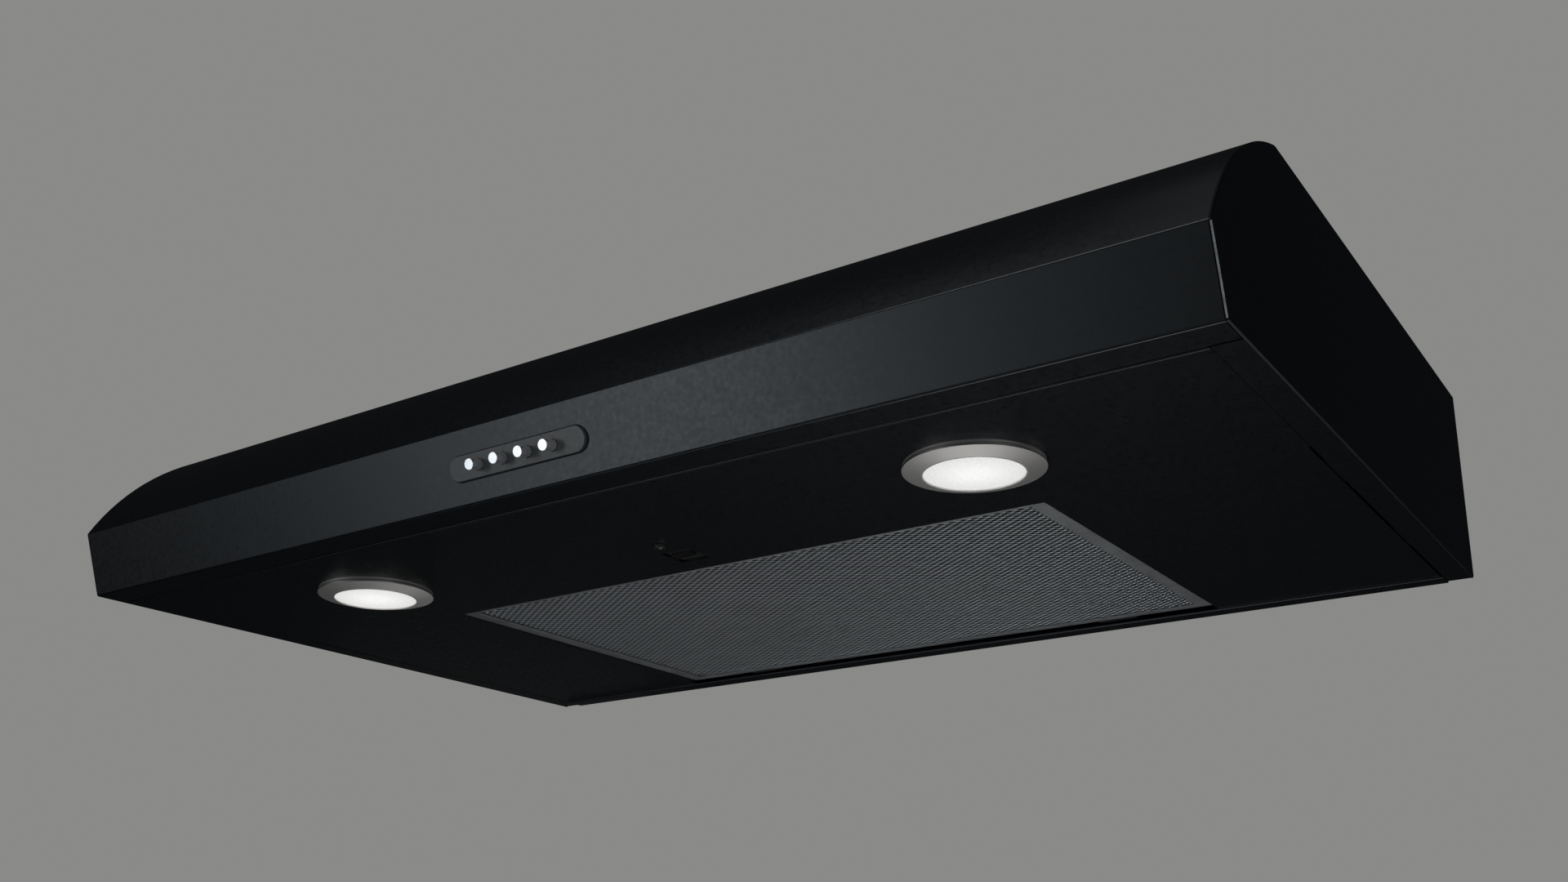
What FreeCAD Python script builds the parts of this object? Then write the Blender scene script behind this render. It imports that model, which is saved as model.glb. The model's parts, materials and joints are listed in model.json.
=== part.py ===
import FreeCAD, Part
import math
import os

# Under cabinet range hood, 30 in wide, built up from separate pieces.
# While it is modelled, x = 0 is the middle of the hood, y = 0 is the bottom front edge of
# the fascia and z = 0 is the flat underside. Every solid is then moved by TO_MOUNT, so that
# the finished part has its origin at the centre of the cabinet screws, on its top face.

# ---- driving dimensions, millimetres --------------------------------------------------
WIDTH = 762.0
HEIGHT = 123.8
DEPTH = 464.3            # bottom front edge of the fascia to the wall
SHEET = 1.0              # body sheet
GAP = 0.15               # between sheets that lie on each other

FASCIA_LEAN = 16.86      # degrees, top edge forward
FASCIA_FACE = 41.5       # height of the fascia along its face
VISOR_CENTRE = (151.0, -54.7)
CREST_RADIUS = 9.0
BEND_RADIUS = 1.6
RETURN_FLANGE = 20.0     # front flange turned back under the hood

SIDE_GAP = 0.35          # line between the side panel's front edge and the canopy
SIDE_CHAMFER = 0.7
SIDE_FLANGE_X = 366.0
SIDE_FLANGE_FRONT = 21.5
SIDE_HEEL_R = 3.0        # rounded lower rear corner of the side panel
TOP_SEAM_Y = 336.0       # where the canopy's sheet meets the top panel
TOP_LAP = 13.0
REAR_FLANGE_Y = 447.0
HEM_RADIUS = 0.9

SCREW_SPACING_X = 650.0
SCREW_SPACING_Y = 260.0
SCREW_HOLE_R = 3.2
SCREW_CENTRE_Y = 280.0

PAN_FRONT = 20.8
PAN_REAR = 446.4
PAN_HALF = 365.75
PAN_STEP_Y = 164.0
PAN_REAR_HALF = 364.6
OPENING_HALF = 221.3
OPENING_FRONT = 170.2
OPENING_LIP = 12.0

LAMP_X = 218.2
LAMP_Y = 94.4
LAMP_HOLE_R = 32.0
LENS_R = 25.9
HOUSING_R = 29.6
HOUSING_TOP = 34.0

FILTER_HALF = 220.5
FILTER_FRONT = 171.0
FILTER_REAR = 442.0
FILTER_BOTTOM = 1.8
FILTER_TOP = 10.8
FILTER_SKIN = 0.8
FILTER_SIDE_LIP = 11.0
FILTER_END_LIP = 7.0

LATCH_X = -1.0
LATCH_HALF = 10.5
LATCH_FRONT = 131.8
LATCH_REAR = 153.2
LATCH_SCREW_Y = 117.0
LATCH_TRAVEL = 6.0

PLATE_LENGTH = 97.0
PLATE_HEIGHT = 14.0
PLATE_THICK = 2.0
CONTROL_S = 20.2         # height of the controls up the fascia
BUTTON_PITCH = 17.57
BUTTON_R = 3.15
BUTTON_PROUD = 10.0
BUTTON_TRAVEL = 3.5
STEM_R = 1.6
STEM_END = -18.0
SWITCH_FACE = -8.0
SWITCH_BACK = -26.0

WHEEL_X = -47.0
WHEEL_Y = 245.0
WHEEL_R = 92.0
WHEEL_INNER_R = 74.0
BLADES = 36
SCROLL_R = 104.0
SCROLL_STEP = 20.0
SCROLL_BOTTOM = 48.0
SCROLL_TOP = 118.0
SCROLL_SHEET = 1.2

PORT_HALF_X = 126.2
PORT_FRONT = 366.0
PORT_REAR = 447.0
COLLAR_HEIGHT = 32.0
DAMPER_AXIS_RISE = 8.0

WIRING_BOTTOM = 62.0
ENTRY_X = 280.0
ENTRY_Z = 85.0

TO_MOUNT = FreeCAD.Vector(0, -SCREW_CENTRE_Y, -HEIGHT)
X_AXIS = FreeCAD.Vector(1, 0, 0)
Y_AXIS = FreeCAD.Vector(0, 1, 0)
Z_AXIS = FreeCAD.Vector(0, 0, 1)
HERE = FreeCAD.Vector(0, 0, 0)


# ---- small helpers --------------------------------------------------------------------
def vec(x, y, z):
    return FreeCAD.Vector(x, y, z)


def box(x0, x1, y0, y1, z0, z1):
    return Part.makeBox(x1 - x0, y1 - y0, z1 - z0, vec(x0, y0, z0))


def rod(x, y, z, radius, length, axis=Z_AXIS):
    return Part.makeCylinder(radius, length, vec(x, y, z), axis)


def tube(x, y, z, outer, inner, length, axis=Z_AXIS):
    return rod(x, y, z, outer, length, axis).cut(rod(x, y, z, inner, length, axis))


def polygon(points):
    return Part.Face(Part.makePolygon(points + [points[0]]))


def prism_x(points_yz, x0, x1):
    face = polygon([vec(x0, y, z) for y, z in points_yz])
    return face.extrude(vec(x1 - x0, 0, 0))


def turned(points_rz, x, y):
    face = polygon([vec(r, 0, z) for r, z in points_rz])
    solid = face.revolve(HERE, Z_AXIS, 360)
    solid.translate(vec(x, y, 0))
    return solid


def arc(first, middle, last):
    return Part.Arc(first, middle, last).toShape()


def mirrored(shape):
    return shape.mirror(HERE, X_AXIS)


def join(first, *others):
    return first.multiFuse(list(others)).removeSplitter()


def cut_all(shape, cutters):
    for cutter in cutters:
        shape = shape.cut(cutter)
    return shape


def fascia_place(shape):
    """Moves a shape from (x, up the face, out of the face) onto the leaning fascia."""
    shape.rotate(HERE, X_AXIS, 90 + FASCIA_LEAN)
    return shape


def pan_head_screw(x, y, z, radius, head_r, length, axis):
    """A screw whose head's underside is at the given point and whose shank runs along axis."""
    head = Part.makeSphere(head_r * 1.25, HERE, Z_AXIS)
    head = head.common(rod(0, 0, -head_r * 1.25, head_r, head_r * 0.6))
    head.translate(vec(0, 0, head_r * 0.65))
    recess = box(-head_r * 0.6, head_r * 0.6, -0.4, 0.4, -head_r, -head_r * 0.42)
    cross = box(-0.4, 0.4, -head_r * 0.6, head_r * 0.6, -head_r, -head_r * 0.42)
    shank = rod(0, 0, -head_r * 0.05, radius, length + head_r * 0.05)
    screw = join(head.cut(recess).cut(cross), shank)
    pivot = X_AXIS if axis.z < -0.999 else Z_AXIS.cross(axis)
    if pivot.Length > 1e-6:
        screw.rotate(HERE, pivot, math.degrees(Z_AXIS.getAngle(axis)))
    screw.translate(vec(x, y, z))
    return screw


def cable(points, radius, bend):
    """A cable along straight runs with a tangent arc of one radius at each corner."""
    edges = []
    start = points[0]
    for before, corner, after in zip(points, points[1:], points[2:]):
        inward = (before - corner).normalize()
        outward = (after - corner).normalize()
        half_turn = (math.pi - inward.getAngle(outward)) / 2
        setback = bend * math.tan(half_turn)
        arc_start = corner + inward * setback
        arc_end = corner + outward * setback
        bisector = (inward + outward).normalize()
        centre = corner + bisector * (bend / math.cos(half_turn))
        middle = centre - bisector * bend
        edges.append(Part.LineSegment(start, arc_start).toShape())
        edges.append(arc(arc_start, middle, arc_end))
        start = arc_end
    edges.append(Part.LineSegment(start, points[-1]).toShape())
    path = Part.Wire(edges)
    section = Part.Wire([Part.Circle(points[0], points[1] - points[0], radius).toShape()])
    return path.makePipeShell([section], True, False)


# ---- the hood's cross-section ---------------------------------------------------------
def section_face(inset):
    """Cross-section of the hood in the YZ plane, pulled in by inset all round."""
    lean = math.radians(FASCIA_LEAN)
    up = vec(0, -math.sin(lean), math.cos(lean))
    inward = vec(0, math.cos(lean), math.sin(lean))
    crease = up * FASCIA_FACE
    centre = vec(0, VISOR_CENTRE[0], VISOR_CENTRE[1])
    visor_r = (crease - centre).Length
    start = inward * inset
    bottom = start + up * ((inset - start.z) / up.z)
    offset = start - centre
    along = offset.dot(up)
    reach = along * along - offset.dot(offset) + (visor_r - inset) ** 2
    corner = start + up * (-along + math.sqrt(reach))
    crest_z = HEIGHT - CREST_RADIUS
    drop = crest_z - centre.z
    crest_y = centre.y - math.sqrt((visor_r - CREST_RADIUS) ** 2 - drop * drop)
    crest = vec(0, crest_y, crest_z)
    ray = (crest - centre).normalize()
    tangent = centre + ray * (visor_r - inset)
    top_front = vec(0, crest_y, HEIGHT - inset)
    halfway = ((corner - centre).normalize() + ray).normalize()
    visor_mid = centre + halfway * (visor_r - inset)
    crest_mid = crest + (ray + Z_AXIS).normalize() * (CREST_RADIUS - inset)
    top_rear = vec(0, DEPTH - inset, HEIGHT - inset)
    bottom_rear = vec(0, DEPTH - inset, inset)
    edges = [Part.LineSegment(bottom, corner).toShape()]
    edges.append(arc(corner, visor_mid, tangent))
    edges.append(arc(tangent, crest_mid, top_front))
    edges.append(Part.LineSegment(top_front, top_rear).toShape())
    edges.append(Part.LineSegment(top_rear, bottom_rear).toShape())
    edges.append(Part.LineSegment(bottom_rear, bottom).toShape())
    return Part.Face(Part.Wire(edges))


def section_solid(inset, x0, x1, bend_radius):
    face = section_face(inset)
    face.translate(vec(x0, 0, 0))
    solid = face.extrude(vec(x1 - x0, 0, 0))
    bends = []
    for edge in solid.Edges:
        along_x = abs(edge.BoundBox.XLength - (x1 - x0)) < 1e-6
        thin = edge.BoundBox.YLength < 1e-6 and edge.BoundBox.ZLength < 1e-6
        at_front = edge.BoundBox.YMax < inset * 2 + 3 and edge.BoundBox.ZMax < HEIGHT / 2
        if along_x and thin and at_front:
            bends.append(edge)
    return solid.makeFillet(bend_radius, bends)


# ---- sheet-metal body -----------------------------------------------------------------
def screw_positions():
    half_x = SCREW_SPACING_X / 2
    half_y = SCREW_SPACING_Y / 2
    for sx in (-1, 1):
        for sy in (-1, 1):
            yield sx * half_x, SCREW_CENTRE_Y + sy * half_y


def collar_screw_positions():
    for x in (-110, 110):
        for y in (PORT_FRONT - 8, PORT_REAR + 8):
            yield x, y


def button_x(index):
    return (index - 1.5) * BUTTON_PITCH


def canopy_half():
    return WIDTH / 2 - SHEET - SIDE_GAP


def make_canopy_shell():
    half = canopy_half()
    outer = section_solid(0, -half, half, BEND_RADIUS)
    inner = section_solid(SHEET, -half - 1, half + 1, BEND_RADIUS - SHEET)
    shell = outer.cut(inner)
    cutters = [box(-half - 1, half + 1, RETURN_FLANGE, TOP_SEAM_Y + 1, -1, SHEET * 2)]
    cutters.append(box(-half - 1, half + 1, TOP_SEAM_Y, DEPTH + 1, -1, HEIGHT + 1))
    for x, y in screw_positions():
        cutters.append(rod(x, y, HEIGHT - 5, SCREW_HOLE_R, 10))
    for index in range(4):
        hole = fascia_place(rod(button_x(index), CONTROL_S, -4, 4.0, 8))
        cutters.append(hole)
    for side in (-1, 1):
        cutters.append(fascia_place(rod(side * 42, CONTROL_S, -4, 1.7, 8)))
    return cut_all(shell, cutters)


def make_top_panel():
    """Flat rear part of the top, with the air port; its front edge is joggled under the canopy."""
    half = canopy_half()
    front = TOP_SEAM_Y + 0.3
    lap_half = SIDE_FLANGE_X - 1
    low = HEIGHT - 2 * SHEET - GAP
    sheet = box(-half, half, front, DEPTH, HEIGHT - SHEET, HEIGHT)
    step = box(-lap_half, lap_half, front, front + SHEET, low, HEIGHT)
    lap = box(-lap_half, lap_half, front - TOP_LAP, front + SHEET, low, low + SHEET)
    cutters = [box(-PORT_HALF_X, PORT_HALF_X, PORT_FRONT, PORT_REAR, HEIGHT - 3, HEIGHT + 1)]
    for x, y in screw_positions():
        cutters.append(rod(x, y, HEIGHT - 5, SCREW_HOLE_R, 10))
    for x, y in collar_screw_positions():
        cutters.append(rod(x, y, HEIGHT - 5, 1.6, 10))
    return cut_all(join(sheet, step, lap), cutters)


def make_side_panel_right():
    outer = WIDTH / 2
    wall = section_solid(0, outer - SHEET, outer, BEND_RADIUS)
    flange_rear = DEPTH - SIDE_HEEL_R - 3
    bottom_flange = box(SIDE_FLANGE_X, outer, SIDE_FLANGE_FRONT, flange_rear, 0, SHEET)
    top = HEIGHT - SHEET - GAP
    top_flange = box(outer - 14, outer, 105, DEPTH - 20, top - SHEET, top)
    heel = box(outer - 2, outer + 1, DEPTH - SIDE_HEEL_R, DEPTH + 1, -1, SIDE_HEEL_R)
    rounding = rod(outer - 3, DEPTH - SIDE_HEEL_R, SIDE_HEEL_R, SIDE_HEEL_R, 5, X_AXIS)
    panel = join(wall, bottom_flange, top_flange).cut(heel.cut(rounding))
    edges = [edge for edge in panel.Edges if edge.BoundBox.XMin > outer - 1e-4]
    return panel.makeChamfer(SIDE_CHAMFER, edges)


def make_rear_panel():
    inner = WIDTH / 2 - SHEET - 0.1
    top = HEIGHT - SHEET - GAP
    wall = box(-inner, inner, DEPTH - SHEET, DEPTH, SHEET + 0.1, top)
    flange_half = SIDE_FLANGE_X - 0.4
    bottom = box(-flange_half, flange_half, REAR_FLANGE_Y + HEM_RADIUS, DEPTH, 0, SHEET)
    hem = rod(-flange_half, REAR_FLANGE_Y + HEM_RADIUS, 0.1, HEM_RADIUS, flange_half * 2, X_AXIS)
    foot = box(-flange_half, flange_half, DEPTH - SHEET, DEPTH, 0, 4)
    top_flange = box(-inner, inner, DEPTH - 12, DEPTH, top - SHEET, top)
    panel = join(wall, foot, bottom, hem, top_flange)
    port = box(-127, 127, DEPTH - 5, DEPTH + 1, 22, 105)
    entry = rod(ENTRY_X, DEPTH - 5, ENTRY_Z, 11.1, 8, Y_AXIS)
    holes = [port, entry]
    for x, z in port_screw_positions():
        holes.append(rod(x, DEPTH - 5, z, 1.6, 8, Y_AXIS))
    for x, y in collar_screw_positions():
        holes.append(rod(x, y, HEIGHT - 8, 1.6, 8))
    return cut_all(panel, holes)


def port_screw_positions():
    for x in (-133, 133):
        for z in (16, 110):
            yield x, z


def make_rear_port_cover():
    plate = box(-140, 140, DEPTH - 2 * SHEET, DEPTH - SHEET, 10, 116)
    pressed = box(-120, 120, DEPTH - 3 * SHEET, DEPTH - 2 * SHEET, 28, 99)
    cover = join(plate, pressed)
    holes = [rod(x, DEPTH - 5, z, 1.6, 8, Y_AXIS) for x, z in port_screw_positions()]
    return cut_all(cover, holes)


def make_bottom_pan():
    front = box(-PAN_HALF, PAN_HALF, PAN_FRONT + HEM_RADIUS, PAN_STEP_Y, 0, SHEET)
    rear = box(-PAN_REAR_HALF, PAN_REAR_HALF, PAN_STEP_Y, PAN_REAR, 0, SHEET)
    hem = rod(-PAN_HALF, PAN_FRONT + HEM_RADIUS, 0.1, HEM_RADIUS, PAN_HALF * 2, X_AXIS)
    pieces = [rear, hem]
    for side in (-1, 1):
        edge = side * PAN_REAR_HALF
        x0, x1 = sorted((edge, edge - side * SHEET))
        pieces.append(box(x0, x1, PAN_FRONT + 4, PAN_REAR, 0, 14))
        for y in (50, 190, 330):
            a, b = sorted((edge - side * SHEET, side * 377))
            pieces.append(box(a, b, y, y + 40, SHEET, 2 * SHEET))
        lip = side * (OPENING_HALF + SHEET)
        a, b = sorted((lip, side * OPENING_HALF))
        pieces.append(box(a, b, OPENING_FRONT - SHEET, PAN_REAR, 0, OPENING_LIP))
    wide = OPENING_HALF + SHEET
    pieces.append(box(-wide, wide, OPENING_FRONT - SHEET, OPENING_FRONT, 0, OPENING_LIP))
    pan = join(front, *pieces)
    opening = box(-OPENING_HALF, OPENING_HALF, OPENING_FRONT, PAN_REAR + 1, -2, SHEET + 1)
    window = box(LATCH_X - LATCH_HALF, LATCH_X + LATCH_HALF, LATCH_FRONT, LATCH_REAR, -1, 2)
    notch = box(LATCH_X - 8, LATCH_X + 8, OPENING_FRONT - 2, OPENING_FRONT + 1, SHEET, 4)
    cutters = [opening, window, notch, rod(LATCH_X, LATCH_SCREW_Y, -1, 2.3, 4)]
    for side in (-1, 1):
        cutters.append(rod(side * LAMP_X, LAMP_Y, -2, LAMP_HOLE_R, 6))
    return cut_all(pan, cutters)


# ---- lamps ----------------------------------------------------------------------------
def make_lamp_bezel(x):
    barrel_out = LAMP_HOLE_R - 0.6
    barrel_in = HOUSING_R + 0.1
    profile = [(barrel_in, 10), (barrel_in, -2.0), (LENS_R + 0.1, -3.2), (LENS_R + 0.1, -5.7)]
    profile += [(LENS_R + 0.9, -5.7), (36.6, -3.1), (36.6, -2.2), (35.4, -1.6)]
    profile += [(36.2, -1.0), (36.2, -0.05), (barrel_out, -0.05), (barrel_out, 10)]
    return turned(profile, x, LAMP_Y)


def make_lamp_lens(x):
    profile = [(0, -5.5), (14, -5.4), (LENS_R, -5.0), (LENS_R, -3.3), (0, -3.3)]
    return turned(profile, x, LAMP_Y)


def make_lamp_housing(x):
    wall = HOUSING_R - 1.4
    profile = [(HOUSING_R, -1.9), (HOUSING_R, HOUSING_TOP), (0, HOUSING_TOP)]
    profile += [(0, HOUSING_TOP - 3), (wall, HOUSING_TOP - 3), (wall, -1.9)]
    housing = turned(profile, x, LAMP_Y)
    grooves = []
    for offset in (-18, -12, -6, 0, 6, 12, 18):
        top = HOUSING_TOP - 1.6
        groove = box(x + offset - 1.2, x + offset + 1.2, LAMP_Y - 40, LAMP_Y + 40, top, 40)
        grooves.append(groove)
    grooves.append(rod(x, LAMP_Y, HOUSING_TOP - 5, 3, 10))
    return cut_all(housing, grooves)


def make_led_board(x):
    board = tube(x, LAMP_Y, HOUSING_TOP - 4.8, 26, 3.2, 1.6)
    for turn in range(8):
        angle = math.radians(45 * turn)
        cx = x + 16 * math.cos(angle)
        cy = LAMP_Y + 16 * math.sin(angle)
        z = HOUSING_TOP - 5.6
        board = board.fuse(box(cx - 1.8, cx + 1.8, cy - 1.8, cy + 1.8, z, z + 0.9))
    return board


def lamp_clip_pair(x):
    clips = []
    for side in (-1, 1):
        inner = LAMP_HOLE_R - 0.55
        foot = SHEET + 0.05
        profile = [(inner, 22), (inner, 4), (inner + 0.6, 4), (inner + 0.6, 20.8)]
        profile += [(47.2, foot), (52, foot), (52, foot + 0.6), (47.5, foot + 0.6)]
        profile += [(inner + 1.0, 22)]
        points = [vec(side * r, -4, z) for r, z in profile]
        clip = polygon(points).extrude(vec(0, 8, 0))
        clip.translate(vec(x, LAMP_Y, 0))
        clips.append(clip)
    return clips


# ---- grease filter --------------------------------------------------------------------
def make_filter_frame():
    wide = FILTER_HALF
    skin = FILTER_SKIN
    outer = box(-wide, wide, FILTER_FRONT, FILTER_REAR, FILTER_BOTTOM, FILTER_TOP)
    a = wide - skin
    pocket = box(-a, a, FILTER_FRONT + skin, FILTER_REAR - skin, FILTER_BOTTOM + skin,
                 FILTER_TOP - skin)
    b = wide - FILTER_SIDE_LIP
    window = box(-b, b, FILTER_FRONT + FILTER_END_LIP, FILTER_REAR - FILTER_END_LIP,
                 FILTER_BOTTOM - 1, FILTER_TOP + 1)
    return outer.cut(pocket).cut(window)


def filter_sheet(bottom, thick):
    a = FILTER_HALF - FILTER_SKIN - 0.2
    margin = FILTER_SKIN + 0.2
    return box(-a, a, FILTER_FRONT + margin, FILTER_REAR - margin, bottom, bottom + thick)


def make_filter_mesh_layers():
    """Two sheets of crimped foil between the inner and outer mesh."""
    sheets = []
    half_wave = 4.0
    thick = 0.25
    for low in (3.6, 6.4):
        upper = []
        lower = []
        count = int((FILTER_REAR - FILTER_FRONT - 6) / half_wave)
        for step in range(count):
            y = FILTER_FRONT + 3 + step * half_wave
            z = low + (2.2 if step % 2 else 0.2)
            lower.append((y, z))
            upper.append((y, z + thick))
        sheets.append(prism_x(lower + upper[::-1], -FILTER_HALF + 1.4, FILTER_HALF - 1.4))
    return Part.makeCompound(sheets)


def make_filter_rear_tabs():
    tabs = []
    for x in (-150, 150):
        profile = [(FILTER_REAR, 1.85), (FILTER_REAR, 7), (FILTER_REAR + 0.8, 7)]
        profile += [(FILTER_REAR + 0.8, 2.65), (455, 2.65), (455, 1.85)]
        tabs.append(prism_x(profile, x - 14, x + 14))
    return Part.makeCompound(tabs)


def make_latch_slider():
    x0 = LATCH_X - 9.5
    x1 = LATCH_X + 9.5
    under = SHEET + 0.2
    plate = box(x0, x1, 108, 160, under, under + 1.0)
    tongue = box(LATCH_X - 7, LATCH_X + 7, 160, FILTER_FRONT - 0.4, under, under + 1.0)
    grip = box(LATCH_X - 7.5, LATCH_X + 7.5, 138.0, 139.0, -0.9, under)
    grip_back = box(LATCH_X - 7.5, LATCH_X + 7.5, 142.0, 143.0, -0.9, under)
    grip_end = box(LATCH_X + 6.5, LATCH_X + 7.5, 138.0, 143.0, -0.9, under)
    slider = join(plate, tongue, grip, grip_back, grip_end)
    slot = box(LATCH_X - 2.3, LATCH_X + 2.3, LATCH_SCREW_Y, LATCH_SCREW_Y + LATCH_TRAVEL, 0, 5)
    ends = [rod(LATCH_X, LATCH_SCREW_Y, 0, 2.3, 5)]
    ends.append(rod(LATCH_X, LATCH_SCREW_Y + LATCH_TRAVEL, 0, 2.3, 5))
    return cut_all(slider, [slot] + ends)


def make_latch_nut():
    washer = tube(LATCH_X, LATCH_SCREW_Y, 2.5, 5.5, 2.05, 0.8)
    nut = Part.Face(Part.makePolygon(
        [vec(4 * math.cos(math.radians(60 * k)), 4 * math.sin(math.radians(60 * k)), 0)
         for k in range(7)])).extrude(vec(0, 0, 3.2))
    nut.translate(vec(LATCH_X, LATCH_SCREW_Y, 3.3))
    return join(washer, nut.cut(rod(LATCH_X, LATCH_SCREW_Y, 3, 2.05, 5)))


# ---- controls -------------------------------------------------------------------------
def obround(length, height, n0, n1):
    r = height / 2
    a = length / 2 - r
    body = box(-a, a, CONTROL_S - r, CONTROL_S + r, n0, n1)
    left = rod(-a, CONTROL_S, n0, r, n1 - n0)
    right = rod(a, CONTROL_S, n0, r, n1 - n0)
    return join(body, left, right)


def make_control_plate():
    plate = obround(PLATE_LENGTH, PLATE_HEIGHT, 0.0, PLATE_THICK)
    rim = [edge for edge in plate.Edges if abs(edge.BoundBox.ZMin - PLATE_THICK) < 1e-6]
    plate = plate.makeFillet(0.4, rim)
    for side in (-1, 1):
        plate = plate.fuse(rod(side * 42, CONTROL_S, -5, 1.5, 5.2))
    for index in range(4):
        plate = plate.cut(rod(button_x(index), CONTROL_S, -1, BUTTON_R + 0.3, 5))
    return fascia_place(plate)


def make_button_cap(index):
    cap = rod(button_x(index), CONTROL_S, -2.5, BUTTON_R, BUTTON_PROUD + 2.5)
    rim = [edge for edge in cap.Edges if abs(edge.BoundBox.ZMin - BUTTON_PROUD) < 1e-6]
    return fascia_place(cap.makeFillet(0.35, rim))


def make_button_stem(index):
    stem = rod(button_x(index), CONTROL_S, STEM_END, STEM_R, -2.5 - STEM_END)
    return fascia_place(stem)


def make_switch_block():
    block = box(-36, 36, CONTROL_S - 8, CONTROL_S + 8, SWITCH_BACK, SWITCH_FACE)
    hole_end = STEM_END - BUTTON_TRAVEL - 1.0
    for index in range(4):
        x = button_x(index)
        block = block.cut(rod(x, CONTROL_S, hole_end, STEM_R + 0.06, SWITCH_FACE + 1 - hole_end))
        for s in (-4, 4):
            pin = box(x - 0.4, x + 0.4, CONTROL_S + s - 2, CONTROL_S + s + 2, -33, SWITCH_BACK)
            block = block.fuse(pin)
    return fascia_place(block)


def make_switch_bracket():
    s0 = CONTROL_S - 7
    s1 = CONTROL_S + 7
    pieces = [box(-37.3, 37.3, s0, s1, SWITCH_BACK - 1.2, SWITCH_BACK - 0.1)]
    for side in (-1, 1):
        a, b = sorted((side * 36.2, side * 37.3))
        pieces.append(box(a, b, s0, s1, SWITCH_BACK - 1.2, -SHEET - 0.05))
        a, b = sorted((side * 36.2, side * 39.8))
        pieces.append(box(a, b, s0, s1, -SHEET - 1.05, -SHEET - 0.05))
    bracket = join(*pieces)
    for index in range(4):
        x = button_x(index)
        slot = box(x - 2, x + 2, s0 + 1, s1 - 1, SWITCH_BACK - 3, SWITCH_BACK + 0.05)
        bracket = bracket.cut(slot)
    return fascia_place(bracket)


# ---- blower ---------------------------------------------------------------------------
def quarter(centre, radius, start_deg, end_deg):
    def at(degrees):
        angle = math.radians(degrees)
        return centre + vec(radius * math.cos(angle), radius * math.sin(angle), 0)
    return arc(at(start_deg), at((start_deg + end_deg) / 2), at(end_deg)), at(start_deg), at(end_deg)


def scroll_outline():
    """Plan of the air path: a four-centre spiral, its outlet and the box below the collar."""
    half = SCROLL_STEP / 2
    hub = vec(WHEEL_X, WHEEL_Y, 0)
    offsets = [(-half, half), (-half, -half), (half, -half), (half, half)]
    edges = []
    tongue_angle = 16
    first = None
    last = None
    for turn, (dx, dy) in enumerate(offsets):
        centre = hub + vec(dx, dy, 0)
        start = tongue_angle if turn == 0 else 90 * turn
        edge, begin, last = quarter(centre, SCROLL_R + turn * SCROLL_STEP, start, 90 * (turn + 1))
        first = begin if turn == 0 else first
        edges.append(edge)
    corners = [last, vec(PORT_HALF_X, PORT_FRONT - 14, 0), vec(PORT_HALF_X, PORT_REAR, 0)]
    corners += [vec(-PORT_HALF_X, PORT_REAR, 0), vec(-PORT_HALF_X, PORT_FRONT, 0)]
    corners += [vec(first.x - 6, PORT_FRONT, 0), first]
    for a, b in zip(corners, corners[1:]):
        edges.append(Part.LineSegment(a, b).toShape())
    return Part.Wire(edges)


def make_blower_scroll():
    inner_wire = scroll_outline()
    outer_wire = inner_wire.makeOffset2D(SCROLL_SHEET, 0)
    height = SCROLL_TOP - SCROLL_BOTTOM
    inner = Part.Face(inner_wire).extrude(vec(0, 0, height))
    outer = Part.Face(outer_wire).extrude(vec(0, 0, height + SCROLL_SHEET))
    scroll = outer.cut(inner)
    scroll.translate(vec(0, 0, SCROLL_BOTTOM))
    mouth = box(-PORT_HALF_X, PORT_HALF_X, PORT_FRONT, PORT_REAR, SCROLL_TOP - 1, SCROLL_TOP + 5)
    motor_hole = rod(WHEEL_X, WHEEL_Y, SCROLL_TOP - 5, 30, 10)
    cutters = [mouth, motor_hole]
    for x, y in motor_screw_positions():
        cutters.append(rod(x, y, SCROLL_TOP - 5, 3.0, 10))
    neck = box(-PORT_HALF_X - SCROLL_SHEET, PORT_HALF_X + SCROLL_SHEET, PORT_FRONT - SCROLL_SHEET,
               PORT_REAR + SCROLL_SHEET, SCROLL_TOP, HEIGHT - SHEET - 0.1)
    neck = neck.cut(box(-PORT_HALF_X, PORT_HALF_X, PORT_FRONT, PORT_REAR, SCROLL_TOP - 1, HEIGHT))
    return join(cut_all(scroll, cutters), neck)


def motor_screw_positions():
    for turn in range(3):
        angle = math.radians(30 + 120 * turn)
        yield WHEEL_X + 46 * math.cos(angle), WHEEL_Y + 46 * math.sin(angle)


def inlet_screw_positions():
    return [(-165, 330), (-160, 165), (-47, 385), (100, 140), (140, 300), (-140, 440), (140, 440)]


def make_inlet_plate():
    top = SCROLL_BOTTOM - 0.1
    plate = box(-192, 140, 82, 457, top - SCROLL_SHEET, top)
    upright = [edge for edge in plate.Edges if edge.BoundBox.ZLength > SCROLL_SHEET / 2]
    plate = plate.makeFillet(24.0, upright)
    plate = plate.cut(rod(WHEEL_X, WHEEL_Y, SCROLL_BOTTOM - 5, 74, 10))
    low = SCROLL_BOTTOM - SCROLL_SHEET - 0.1
    mouth = turned([(78, low), (74, low + 0.2), (70.5, low + 2.4), (69, low + 5.6), (70, low + 5.8),
                    (71.6, low + 3.2), (74.6, low + 1.2), (78, low + 1.2)], WHEEL_X, WHEEL_Y)
    return join(plate, mouth)


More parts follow.
